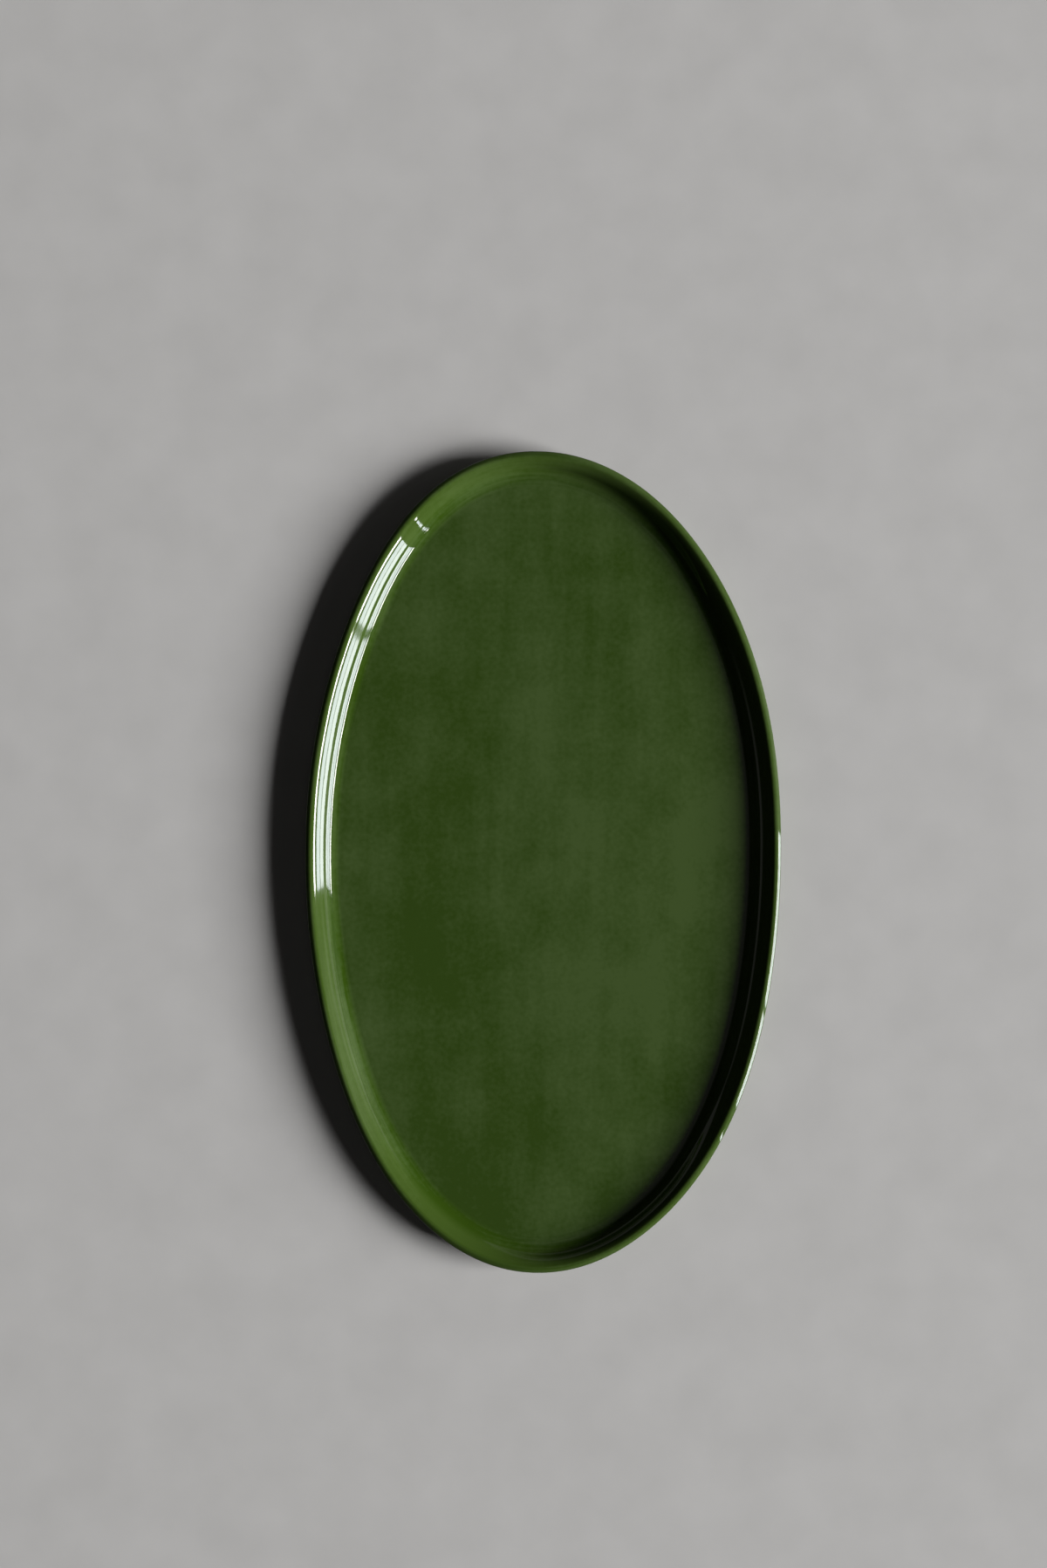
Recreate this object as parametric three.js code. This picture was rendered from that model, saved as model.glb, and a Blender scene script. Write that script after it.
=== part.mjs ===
// Oval serving platter in glazed stoneware.
// One fired clay body carries two coats of glaze: the main coat over the well, the lip
// and the outer wall, and a patch inside the foot ring. The foot ring is wiped bare.
// Millimetres. +Z is up, +Y runs along the platter, and the foot ring stands on Z = 0.

import * as THREE from "three";

// Plan of the finished platter, glaze included, before the maker's unevenness
const LENGTH = 451;
const WIDTH = 261.5;
const OVAL_POWER = 2.05; // 2 is a plain ellipse, and more fills out the quarters

// Slow waves that a hand-formed rim keeps, in millimetres along the outline's normal
const RIM_WAVES = [
  { lobes: 3, swell: 0.85, peakDegrees: 7 },
  { lobes: 4, swell: 0.4, peakDegrees: 34 },
  { lobes: 5, swell: 0.65, peakDegrees: 35 },
  { lobes: 7, swell: 0.25, peakDegrees: 15 },
];

// Heights
const HEIGHT = 14; // from the table to the top of the lip, glaze included
const FOOT_HEIGHT = 1;
const FLOOR_THICKNESS = 3.2; // clay alone
const GLAZE_THICKNESS = 0.5;

// Section of the rim, clay alone, with slopes in degrees from level
const LIP_RADIUS = 2.2;
const LIP_TURN = 32; // slope where the lip's round runs out into the shoulder
const WALL_PITCH = 44.5; // steepest slope inside, where the shoulder meets the hollow
const HOLLOW_RADIUS = 19;
const COVE_TURN = 32; // slope where the hollow tightens into the cove
const COVE_RADIUS = 9.4;
const OUTER_PITCH = 52;
const HEEL_RADIUS = 14;

// Foot ring, measured inwards from the clay's outline
const FOOT_INSET = 24;
const FOOT_WIDTH = 7;
const FOOT_EDGE_RADIUS = 0.6;
const DRY_MARGIN = 2; // bare clay between a coat's edge and the foot ring

// Facets of each round stretch
const OUTLINE_FACETS = 80;
const COVE_FACETS = 4;
const HOLLOW_FACETS = 2;
const SHOULDER_FACETS = 3;
const LIP_FACETS = 7;
const HEEL_FACETS = 4;
const EDGE_FACETS = 2;

const UP = Math.PI / 2;
const radians = THREE.MathUtils.degToRad;
const direction = (angle) => new THREE.Vector2(Math.cos(angle), Math.sin(angle));

const floorLevel = FOOT_HEIGHT + FLOOR_THICKNESS;
const lipLevel = HEIGHT - GLAZE_THICKNESS;
const coatEnd = FOOT_INSET - DRY_MARGIN;
const footInnerInset = FOOT_INSET + FOOT_WIDTH;

// Plan outline of the clay: a superellipse with the rim's waves, centred on its own box.
// Each station has its point and the direction that leads straight out of the rim.
function clayOutline() {
  const halfWidth = WIDTH / 2 - GLAZE_THICKNESS;
  const halfLength = LENGTH / 2 - GLAZE_THICKNESS;
  const rounded = (value) => Math.sign(value) * Math.abs(value) ** (2 / OVAL_POWER);
  const points = [];
  for (let station = 0; station < OUTLINE_FACETS; station += 1) {
    const angle = (station / OUTLINE_FACETS) * 2 * Math.PI;
    const x = halfWidth * rounded(Math.cos(angle));
    const y = halfLength * rounded(Math.sin(angle));
    const outward = new THREE.Vector2(x / halfWidth ** 2, y / halfLength ** 2).normalize();
    points.push(new THREE.Vector2(x, y).addScaledVector(outward, rimWave(angle)));
  }
  const middle = new THREE.Box2().setFromPoints(points).getCenter(new THREE.Vector2());
  points.forEach((point) => point.sub(middle));
  return points.map((point, station) => {
    const before = points.at(station - 1);
    const after = points[(station + 1) % OUTLINE_FACETS];
    return { point, outward: new THREE.Vector2(after.y - before.y, before.x - after.x).normalize() };
  });
}

function rimWave(angle) {
  const wave = ({ lobes, swell, peakDegrees }) => swell * Math.cos(lobes * (angle - radians(peakDegrees)));
  return RIM_WAVES.reduce((sum, each) => sum + wave(each), 0);
}

// Sections are drawn in a plane square to the rim: x runs outwards from the clay's
// outline, so that the platter has only negative x, and y is the height.

// A round stretch of a section. side is 1 where the clay fills the circle, as in the lip,
// and -1 where the clay lies around it, as in the cove.
function roundStretch(centre, radius, fromAngle, toAngle, facets, side = 1) {
  return Array.from({ length: facets + 1 }, (_, step) => {
    const spoke = direction(THREE.MathUtils.lerp(fromAngle, toAngle, step / facets));
    return {
      point: centre.clone().addScaledVector(spoke, radius),
      normal: spoke.multiplyScalar(side),
    };
  });
}

// The clay under the main coat, from the edge of the flat floor up the cove, the hollow
// and the swelling shoulder, over the lip, down the outer wall and round the heel to the
// underside. The stretches are tangent to each other. The shoulder's radius takes up the
// height that the others leave.
function rimSection() {
  const coveTurn = radians(COVE_TURN);
  const pitch = radians(WALL_PITCH);
  const lipTurn = radians(LIP_TURN);
  const outer = radians(OUTER_PITCH) - UP;
  const coveRise = COVE_RADIUS * (1 - Math.cos(coveTurn));
  const hollowRise = HOLLOW_RADIUS * (Math.cos(coveTurn) - Math.cos(pitch));
  const lipRise = LIP_RADIUS * (1 - Math.cos(lipTurn));
  const shoulderRise = lipLevel - floorLevel - coveRise - hollowRise - lipRise;
  const shoulderRadius = shoulderRise / (Math.cos(lipTurn) - Math.cos(pitch));

  const lip = new THREE.Vector2(-LIP_RADIUS, lipLevel - LIP_RADIUS);
  const shoulder = lip.clone().addScaledVector(direction(UP + lipTurn), LIP_RADIUS - shoulderRadius);
  const hollow = shoulder.clone().addScaledVector(direction(UP + pitch), shoulderRadius + HOLLOW_RADIUS);
  const cove = hollow.clone().addScaledVector(direction(coveTurn - UP), HOLLOW_RADIUS - COVE_RADIUS);
  const wallNormal = direction(outer);
  const heelHeight = FOOT_HEIGHT + HEEL_RADIUS;
  const heelReach = lip.dot(wallNormal) + LIP_RADIUS - HEEL_RADIUS - heelHeight * wallNormal.y;
  const heel = new THREE.Vector2(heelReach / wallNormal.x, heelHeight);

  return [
    ...roundStretch(cove, COVE_RADIUS, -UP, coveTurn - UP, COVE_FACETS, -1),
    ...roundStretch(hollow, HOLLOW_RADIUS, coveTurn - UP, pitch - UP, HOLLOW_FACETS, -1).slice(1),
    ...roundStretch(shoulder, shoulderRadius, UP + pitch, UP + lipTurn, SHOULDER_FACETS).slice(1),
    ...roundStretch(lip, LIP_RADIUS, UP + lipTurn, outer, LIP_FACETS).slice(1),
    ...roundStretch(heel, HEEL_RADIUS, outer, -UP, HEEL_FACETS),
  ];
}

const rim = rimSection();
const claySide = rim.map(({ point }) => point);
const glazeSide = rim.map(({ point, normal }) => point.clone().addScaledVector(normal, GLAZE_THICKNESS));

// The rounded lower edge of a coat, where it stops on the flat underside
function coatEdge(inset, fromAngle, toAngle) {
  const centre = new THREE.Vector2(-inset, FOOT_HEIGHT);
  return roundStretch(centre, GLAZE_THICKNESS, fromAngle, toAngle, EDGE_FACETS).map(({ point }) => point);
}

function footSection() {
  const outerEdge = new THREE.Vector2(-FOOT_INSET - FOOT_EDGE_RADIUS, FOOT_EDGE_RADIUS);
  const innerEdge = new THREE.Vector2(-footInnerInset + FOOT_EDGE_RADIUS, FOOT_EDGE_RADIUS);
  return [
    new THREE.Vector2(-FOOT_INSET, FOOT_HEIGHT),
    ...roundStretch(outerEdge, FOOT_EDGE_RADIUS, 0, -UP, EDGE_FACETS).map(({ point }) => point),
    ...roundStretch(innerEdge, FOOT_EDGE_RADIUS, -UP, -2 * UP, EDGE_FACETS).map(({ point }) => point),
    new THREE.Vector2(-footInnerInset, FOOT_HEIGHT),
  ];
}

// Carries a section once round the outline. Its first and last points are closed by flat
// faces to the platter's middle, so the section runs from the upper face to the lower one.
function sweepRound(section) {
  const outline = clayOutline();
  const vertices = section.flatMap(({ x: reach, y: height }) =>
    outline.map(({ point, outward }) => {
      const place = point.clone().addScaledVector(outward, reach);
      return new THREE.Vector3(place.x, place.y, height);
    }),
  );
  const upperMiddle = vertices.push(new THREE.Vector3(0, 0, section.at(0).y)) - 1;
  const lowerMiddle = vertices.push(new THREE.Vector3(0, 0, section.at(-1).y)) - 1;

  // Two triangles along the shorter diagonal, so that coats that touch split alike
  const facet = (a, b, c, d) =>
    vertices[a].distanceTo(vertices[c]) < vertices[b].distanceTo(vertices[d])
      ? [a, b, c, a, c, d]
      : [a, b, d, b, c, d];

  const faces = [];
  const lastRing = (section.length - 1) * OUTLINE_FACETS;
  for (let station = 0; station < OUTLINE_FACETS; station += 1) {
    const next = (station + 1) % OUTLINE_FACETS;
    faces.push(upperMiddle, station, next);
    faces.push(lowerMiddle, lastRing + next, lastRing + station);
    for (let ring = 0; ring < lastRing; ring += OUTLINE_FACETS) {
      const nextRing = ring + OUTLINE_FACETS;
      faces.push(...facet(ring + station, nextRing + station, nextRing + next, ring + next));
    }
  }
  const geometry = new THREE.BufferGeometry().setFromPoints(vertices);
  geometry.setIndex(faces);
  geometry.computeVertexNormals();
  return geometry;
}

function clayBody() {
  const coatLine = new THREE.Vector2(-coatEnd, FOOT_HEIGHT);
  const fired = new THREE.MeshStandardMaterial({ color: 0xb59a7a, roughness: 0.85, metalness: 0 });
  return new THREE.Mesh(sweepRound([...claySide, coatLine, ...footSection()]), fired);
}

function glazeCoat() {
  const edge = coatEdge(coatEnd - GLAZE_THICKNESS, -UP, -2 * UP);
  const section = [...glazeSide, ...edge, ...claySide.toReversed()];
  return new THREE.Mesh(sweepRound(section), greenGlaze());
}

function baseGlaze() {
  const edge = coatEdge(footInnerInset + DRY_MARGIN + GLAZE_THICKNESS, 0, -UP);
  return new THREE.Mesh(sweepRound(edge), greenGlaze());
}

function greenGlaze() {
  return new THREE.MeshStandardMaterial({ color: 0x40552a, roughness: 0.12, metalness: 0 });
}

const platter = new THREE.Group();
for (const [name, make] of Object.entries({ clay_body: clayBody, glaze_coat: glazeCoat, base_glaze: baseGlaze })) {
  const mesh = make();
  mesh.name = name;
  platter.add(mesh);
}

export default platter;
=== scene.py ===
# %% [markdown]
# An oval platter in glazed stoneware
#
# The real platter is one fired clay body with glass melted onto it. The glaze covers the well, the lip
# and the outer wall. The foot ring is wiped bare so that it doesn't stick to the kiln shelf, and inside
# the ring there is a second patch of glaze. So there are three pieces, and nothing on them moves. The
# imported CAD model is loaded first. It fixes the frame: metres, +Z up, +Y along the platter.

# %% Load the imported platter
from math import cos, pi, radians, sin

import bmesh
import bpy
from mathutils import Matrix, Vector


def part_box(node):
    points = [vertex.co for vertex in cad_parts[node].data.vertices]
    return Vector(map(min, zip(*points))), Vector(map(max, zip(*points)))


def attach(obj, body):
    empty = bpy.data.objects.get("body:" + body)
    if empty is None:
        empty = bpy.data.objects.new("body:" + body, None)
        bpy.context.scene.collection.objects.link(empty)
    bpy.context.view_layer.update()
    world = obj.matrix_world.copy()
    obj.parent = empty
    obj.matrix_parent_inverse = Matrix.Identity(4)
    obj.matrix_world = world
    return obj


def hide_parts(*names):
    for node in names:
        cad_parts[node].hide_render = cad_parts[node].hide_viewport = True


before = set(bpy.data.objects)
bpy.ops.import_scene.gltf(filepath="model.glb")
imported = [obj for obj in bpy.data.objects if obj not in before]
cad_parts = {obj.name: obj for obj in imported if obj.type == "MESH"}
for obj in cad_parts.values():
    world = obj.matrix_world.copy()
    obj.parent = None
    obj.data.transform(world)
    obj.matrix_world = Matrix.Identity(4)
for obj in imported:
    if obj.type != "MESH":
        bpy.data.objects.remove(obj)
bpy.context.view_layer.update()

print("CAD nodes:", sorted(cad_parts))

# %% [markdown]
# The main sizes
#
# The overall sizes are read from the frame, so the looks can't drift away from the CAD model. The coat is
# the outermost piece, so taking its thickness off its box leaves the clay. Sizes are in metres, and
# slopes are angles from level.

# %% Main sizes
MM = 0.001
UP = pi / 2
GLAZE = 0.5 * MM
FOOT_HEIGHT = 1.0 * MM
FLOOR_THICKNESS = 3.2 * MM
FLOOR_LEVEL = FOOT_HEIGHT + FLOOR_THICKNESS

coat_low, coat_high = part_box("glaze_coat")
CLAY_WIDTH = coat_high.x - coat_low.x - 2 * GLAZE
CLAY_LENGTH = coat_high.y - coat_low.y - 2 * GLAZE
LIP_TOP = coat_high.z - GLAZE
print(f"clay {CLAY_LENGTH / MM:.1f} by {CLAY_WIDTH / MM:.1f} mm, lip at {LIP_TOP / MM:.2f} mm")

# %% [markdown]
# Round stretches
#
# A potter checks a platter with a template of its section, and here the section is drawn first too. It is
# a chain of round stretches that run smoothly into each other. Each is stepped finely, because a glossy
# glaze shows every flat. A point is kept with its normal, so that the coat can be laid on the clay by
# moving along it. The first number of a point is its reach, which is zero at the clay's outline and
# negative inside it, and the second is its height.

# %% Round stretches
def facing(angle):
    return Vector((cos(angle), sin(angle)))


def round_stretch(centre, radius, start, end, steps, side=1):
    """Points and normals along an arc. side is -1 where the clay lies outside it, as in the cove."""
    spokes = [facing(start + (end - start) * step / steps) for step in range(steps + 1)]
    return [(centre + spoke * radius, spoke * side) for spoke in spokes]


# %% [markdown]
# The outside of the lip
#
# From its crest the lip falls to the outline in three rounds: the crest itself, a long gentle stretch
# that catches the window as a white line, and a tight edge. Each starts where the last one ended and in
# the same direction, so no crease shows. The crest's radius takes up the reach that the other two leave.

# %% Outside of the lip
LIP_RADIUS = 2.2 * MM
GENTLE_START = radians(25)
GENTLE_END = radians(36)
GENTLE_RADIUS = 7.7 * MM
EDGE_RADIUS = 0.25 * MM
EDGE_STEPS = 6


def outside_of_lip():
    gentle_reach = GENTLE_RADIUS * (sin(GENTLE_END) - sin(GENTLE_START))
    edge_reach = EDGE_RADIUS * (1 - sin(GENTLE_END))
    crest_radius = (LIP_RADIUS - gentle_reach - edge_reach) / sin(GENTLE_START)
    radii = (crest_radius, GENTLE_RADIUS, EDGE_RADIUS)
    slopes = (0, GENTLE_START, GENTLE_END, UP)
    point, points = Vector((-LIP_RADIUS, LIP_TOP)), []
    for radius, start, end in zip(radii, slopes, slopes[1:]):
        centre = point - facing(UP - start) * radius
        stretch = round_stretch(centre, radius, UP - start, UP - end, EDGE_STEPS)
        points += stretch[1:]
        point = stretch[-1][0]
    return points


print("outside of the lip:", len(outside_of_lip()), "points")

# %% [markdown]
# The rim's section
#
# From the floor's edge the section rises through the cove and the hollow, turns over into a swelling
# shoulder and closes in the lip. Outside, it falls to the heel, a wide round that ends on the underside.
# Hollow and shoulder meet where the wall is steepest, and there the reflections turn over. The shoulder's
# radius takes up the height that the other stretches leave. The wall is steeper inside the oval's two
# ends than along its left side, so there are two sets of sizes and two sections with the same number of
# points.

# %% Rim section
LIP_TURN = radians(32)  # slope where the lip runs out into the shoulder
OUTER_PITCH = radians(52)
HEEL_RADIUS = 14 * MM
SIDE_WALL = {
    "pitch": radians(44.5), "hollow_radius": 19 * MM,
    "cove_turn": radians(32), "cove_radius": 9.4 * MM,
}
END_WALL = {
    "pitch": radians(64), "hollow_radius": 6.5 * MM,
    "cove_turn": radians(20), "cove_radius": 20 * MM,
}
COVE_STEPS = 12
HOLLOW_STEPS = 8
SHOULDER_STEPS = 12
LIP_STEPS = 8
HEEL_STEPS = 14


def rim_section(pitch, hollow_radius, cove_turn, cove_radius):
    """From the floor's edge up the inner wall, over the lip, and down the outside to the underside.

    pitch is the steepest slope inside, and cove_turn is the slope where the cove passes into the hollow.
    """
    cove_rise = cove_radius * (1 - cos(cove_turn))
    hollow_rise = hollow_radius * (cos(cove_turn) - cos(pitch))
    lip_rise = LIP_RADIUS * (1 - cos(LIP_TURN))
    shoulder_rise = LIP_TOP - FLOOR_LEVEL - cove_rise - hollow_rise - lip_rise
    shoulder_radius = shoulder_rise / (cos(LIP_TURN) - cos(pitch))

    lip = Vector((-LIP_RADIUS, LIP_TOP - LIP_RADIUS))
    shoulder = lip + facing(UP + LIP_TURN) * (LIP_RADIUS - shoulder_radius)
    hollow = shoulder + facing(UP + pitch) * (shoulder_radius + hollow_radius)
    cove = hollow + facing(cove_turn - UP) * (hollow_radius - cove_radius)

    outer = OUTER_PITCH - UP
    outer_normal = facing(outer)
    heel_height = FOOT_HEIGHT + HEEL_RADIUS
    heel_reach = lip.dot(outer_normal) + LIP_RADIUS - HEEL_RADIUS - heel_height * outer_normal.y
    heel = Vector((heel_reach / outer_normal.x, heel_height))
    return (
        round_stretch(cove, cove_radius, -UP, cove_turn - UP, COVE_STEPS, -1)
        + round_stretch(hollow, hollow_radius, cove_turn - UP, pitch - UP, HOLLOW_STEPS, -1)[1:]
        + round_stretch(shoulder, shoulder_radius, UP + pitch, UP + LIP_TURN, SHOULDER_STEPS)[1:]
        + round_stretch(lip, LIP_RADIUS, UP + LIP_TURN, UP, LIP_STEPS)[1:]
        + outside_of_lip()
        + round_stretch(lip, LIP_RADIUS, 0, outer, LIP_STEPS)
        + round_stretch(heel, HEEL_RADIUS, outer, -UP, HEEL_STEPS)
    )


side_rim = rim_section(**SIDE_WALL)
end_rim = rim_section(**END_WALL)
for rim in (side_rim, end_rim):
    floor_edge = rim[0][0]
    print(f"rim of {len(rim)} points, floor's edge {-floor_edge.x / MM:.2f} mm in from the outline")

# %% [markdown]
# The underside
#
# The underside is flat apart from the foot ring. The ring has rounded edges, and small fillets where it
# grows out of the clay. A coat of glaze that stops on the underside ends in a rounded bead, as melted
# glass does.

# %% Foot ring, beads and level runs
FOOT_INSET = 24 * MM
FOOT_WIDTH = 7 * MM
FOOT_INNER = FOOT_INSET + FOOT_WIDTH
FOOT_ROUND = 0.6 * MM
FOOT_STEPS = 6
FILLET = FOOT_ROUND / 2
FILLET_STEPS = 4
BEAD_STEPS = 6


def level_run(start, end, height, steps):
    """Points along a level stretch, both ends included."""
    reaches = [start + (end - start) * step / steps for step in range(steps + 1)]
    return [Vector((reach, height)) for reach in reaches]


def bead(inset, start, end):
    """The rounded edge of a coat that stops on the underside."""
    stretch = round_stretch(Vector((-inset, FOOT_HEIGHT)), GLAZE, start, end, BEAD_STEPS)
    return [point for point, normal in stretch]


def foot_section():
    """Down the foot ring's outer side, across the face that it stands on, and up its inner side."""
    outer_fillet = Vector((-FOOT_INSET + FILLET, FOOT_HEIGHT - FILLET))
    outer_edge = Vector((-FOOT_INSET - FOOT_ROUND, FOOT_ROUND))
    inner_edge = Vector((-FOOT_INNER + FOOT_ROUND, FOOT_ROUND))
    inner_fillet = Vector((-FOOT_INNER - FILLET, FOOT_HEIGHT - FILLET))
    stretches = (
        round_stretch(outer_fillet, FILLET, UP, 2 * UP, FILLET_STEPS, -1)
        + round_stretch(outer_edge, FOOT_ROUND, 0, -UP, FOOT_STEPS)
        + round_stretch(inner_edge, FOOT_ROUND, -UP, -2 * UP, FOOT_STEPS)
        + round_stretch(inner_fillet, FILLET, 0, UP, FILLET_STEPS, -1)
    )
    return [point for point, normal in stretches]


print("foot ring:", len(foot_section()), "points")

# %% [markdown]
# The three sections
#
# Each piece is a closed outline in this plane that starts and ends on the platter's middle line: out
# along its upper face and back along its lower one. The coat goes out over the rim, ends in its bead on
# the underside, and comes back along the clay. The clay goes on past the bead to the foot ring. Each
# point is marked as open to the air or covered, because only open faces get the glaze's slight
# unevenness.

# %% Sections of the coat, the clay and the base glaze
DRY_MARGIN = 2 * MM
COAT_END = FOOT_INSET - DRY_MARGIN
BASE_EDGE = FOOT_INNER + DRY_MARGIN
MIDDLE = -CLAY_WIDTH / 2
FLOOR_RINGS = 20
UNDERSIDE_RINGS = 4


def open_to_air(points):
    return [(point, 1.0) for point in points]


def covered(points):
    return [(point, 0.0) for point in points]


def coat_section(rim):
    clay_side = [point for point, normal in rim]
    glaze_side = [point + normal * GLAZE for point, normal in rim]
    floor = level_run(MIDDLE, glaze_side[0].x, FLOOR_LEVEL + GLAZE, FLOOR_RINGS)[:-1]
    edge = bead(COAT_END - GLAZE, -UP, -2 * UP)
    on_clay = clay_side[::-1] + [Vector((MIDDLE, FLOOR_LEVEL))]
    return open_to_air(floor + glaze_side + edge) + covered(on_clay)


def clay_section(rim):
    clay_side = [point for point, normal in rim]
    middle, coat_line = Vector((MIDDLE, FLOOR_LEVEL)), Vector((-COAT_END, FOOT_HEIGHT))
    underside = level_run(-FOOT_INNER - FOOT_ROUND, MIDDLE, FOOT_HEIGHT, UNDERSIDE_RINGS)
    return covered([middle] + clay_side + [coat_line]) + open_to_air(foot_section() + underside)


def base_section(rim):
    """The same at the sides and at the ends, because the patch lies far inside the rim."""
    edge = bead(BASE_EDGE + GLAZE, 0, -UP)
    face = level_run(edge[-1].x, MIDDLE, FOOT_HEIGHT - GLAZE, FLOOR_RINGS)[1:]
    return covered([Vector((MIDDLE, FOOT_HEIGHT))]) + open_to_air(edge + face)


for draw in (coat_section, clay_section, base_section):
    print(draw.__name__, "has", len(draw(side_rim)), "points")

# %% [markdown]
# A sweep in Geometry Nodes
#
# A platter follows a rule: one section carried round one outline. That suits Geometry Nodes, which can
# make all three pieces with a single tree. A tree that is written in Python soon gets long, so a few
# helpers come first. The first one adds any node, and the others add one of a kind and give back what
# comes out of it.

# %% Helpers for node trees
def add(tree, kind, feeds, **settings):
    """A new node with its settings. Its inputs take values or other nodes' outputs, by name or by place."""
    node = tree.nodes.new(kind)
    for name, value in settings.items():
        setattr(node, name, value)
    for key, value in feeds.items():
        if isinstance(value, bpy.types.NodeSocket):
            tree.links.new(value, node.inputs[key])
        else:
            node.inputs[key].default_value = value
    return node


def calc(tree, operation, *values):
    return add(tree, "ShaderNodeMath", dict(enumerate(values)), operation=operation).outputs[0]


def calc_vector(tree, operation, *values):
    return add(tree, "ShaderNodeVectorMath", dict(enumerate(values)), operation=operation).outputs["Vector"]


def times(tree, value, factor):
    feeds = {"Vector": value, "Scale": factor}
    return add(tree, "ShaderNodeVectorMath", feeds, operation="SCALE").outputs["Vector"]


def vector(tree, x, y, z):
    return add(tree, "ShaderNodeCombineXYZ", {"X": x, "Y": y, "Z": z}).outputs["Vector"]


def parts(tree, value):
    return add(tree, "ShaderNodeSeparateXYZ", {0: value}).outputs


# %% [markdown]
# The tree and its inputs
#
# Everything that a maker might want to change is an input with a plain name: the two drawn sections, the
# material, the oval's size and power, the rim's waves and the glaze's unevenness. The tree starts out
# with nothing else but the number that each point carries, its index.

# %% Tree with named inputs
LOBES = {"Three": 3, "Four": 4, "Five": 5, "Seven": 7}
SOCKET_TYPES = {
    "Section": "NodeSocketObject",
    "End Section": "NodeSocketObject",
    "Material": "NodeSocketMaterial",
    "Points Around": "NodeSocketInt",
    "Width": "NodeSocketFloat",
    "Length": "NodeSocketFloat",
    "Oval Power": "NodeSocketFloat",
    **{f"{name} Lobe {value}": "NodeSocketFloat" for name in LOBES for value in ("Swell", "Peak")},
    "Fade From": "NodeSocketFloat",
    "Unevenness": "NodeSocketFloat",
    "Uneven Patches": "NodeSocketFloat",
    "Seed": "NodeSocketFloat",
}

tree = bpy.data.node_groups.new("swept oval", "GeometryNodeTree")
tree.interface.new_socket("Geometry", in_out="OUTPUT", socket_type="NodeSocketGeometry")
for socket_name, socket_type in SOCKET_TYPES.items():
    tree.interface.new_socket(socket_name, in_out="INPUT", socket_type=socket_type)
given = tree.nodes.new("NodeGroupInput").outputs
index = tree.nodes.new("GeometryNodeInputIndex").outputs[0]
print("inputs of the sweep:", [socket.name for socket in given if socket.name])

# %% [markdown]
# The oval and its waves
#
# Each point of a plain circle finds its angle from its index. The cosine and sine, raised to a power a
# little under one, give a superellipse, which is slightly fuller at the quarters than an ellipse. Slow
# waves, left in by the hand that formed the rim, then push the point along the oval's normal.

# %% Wavy oval in nodes
def signed_power(value, exponent):
    """The power of a value's size, with the value's sign kept."""
    size = calc(tree, "POWER", calc(tree, "ABSOLUTE", value), exponent)
    return calc(tree, "MULTIPLY", calc(tree, "SIGN", value), size)


def rim_wave(name, lobes):
    turned = calc(tree, "SUBTRACT", angle, given[name + " Lobe Peak"])
    wave = calc(tree, "COSINE", calc(tree, "MULTIPLY", turned, lobes))
    return calc(tree, "MULTIPLY", given[name + " Lobe Swell"], wave)


angle = calc(tree, "MULTIPLY", calc(tree, "DIVIDE", index, given["Points Around"]), 2 * pi)
exponent = calc(tree, "DIVIDE", 2, given["Oval Power"])
half_width = calc(tree, "DIVIDE", given["Width"], 2)
half_length = calc(tree, "DIVIDE", given["Length"], 2)
oval_x = calc(tree, "MULTIPLY", half_width, signed_power(calc(tree, "COSINE", angle), exponent))
oval_y = calc(tree, "MULTIPLY", half_length, signed_power(calc(tree, "SINE", angle), exponent))
slope_x = calc(tree, "DIVIDE", oval_x, calc(tree, "POWER", half_width, 2))
slope_y = calc(tree, "DIVIDE", oval_y, calc(tree, "POWER", half_length, 2))
out_of_oval = calc_vector(tree, "NORMALIZE", vector(tree, slope_x, slope_y, 0))
wavy_oval = vector(tree, oval_x, oval_y, 0)
for name, lobes in LOBES.items():
    wavy_oval = calc_vector(tree, "ADD", wavy_oval, times(tree, out_of_oval, rim_wave(name, lobes)))
circle = add(tree, "GeometryNodeCurvePrimitiveCircle", {"Resolution": given["Points Around"]})
oval = add(tree, "GeometryNodeSetPosition", {"Geometry": circle.outputs["Curve"], "Position": wavy_oval})
print("nodes so far:", len(tree.nodes))

# %% [markdown]
# Fitting the outline
#
# The waves change the width and the length a little. So the outline is centred on its own box and scaled
# to the sizes that are given. Bounding Box would count a curve's radius as well, and that is switched
# off.

# %% Outline fitted to its box
oval_box = add(tree, "GeometryNodeBoundBox", {"Geometry": oval.outputs[0], "Use Radius": False}).outputs
box_middle = times(tree, calc_vector(tree, "ADD", oval_box["Min"], oval_box["Max"]), 0.5)
box_size = calc_vector(tree, "SUBTRACT", oval_box["Max"], oval_box["Min"])
wanted_size = vector(tree, given["Width"], given["Length"], 0)
position = tree.nodes.new("GeometryNodeInputPosition").outputs[0]
centred = calc_vector(tree, "SUBTRACT", position, box_middle)
fitted = calc_vector(tree, "MULTIPLY", centred, calc_vector(tree, "DIVIDE", wanted_size, box_size))
outline = add(tree, "GeometryNodeSetPosition", {"Geometry": oval.outputs[0], "Position": fitted}).outputs[0]
print("nodes so far:", len(tree.nodes))

# %% [markdown]
# A grid over outline and section
#
# A grid is laid over outline and section: each column takes a point of the outline, and each row takes a
# point of the section. Blender numbers a grid's points column by column, so dividing a point's index by
# the rows gives its column, and the remainder gives its row. Sample Index then fetches the outline's
# point and tangent. There is one column more than there are points around, and it falls on the first one
# again.

# %% Grid and outline points
def sampled(geometry, value, number, kind="FLOAT_VECTOR"):
    feeds = {"Geometry": geometry, "Value": value, "Index": number}
    return add(tree, "GeometryNodeSampleIndex", feeds, data_type=kind, domain="POINT").outputs[0]


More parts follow.
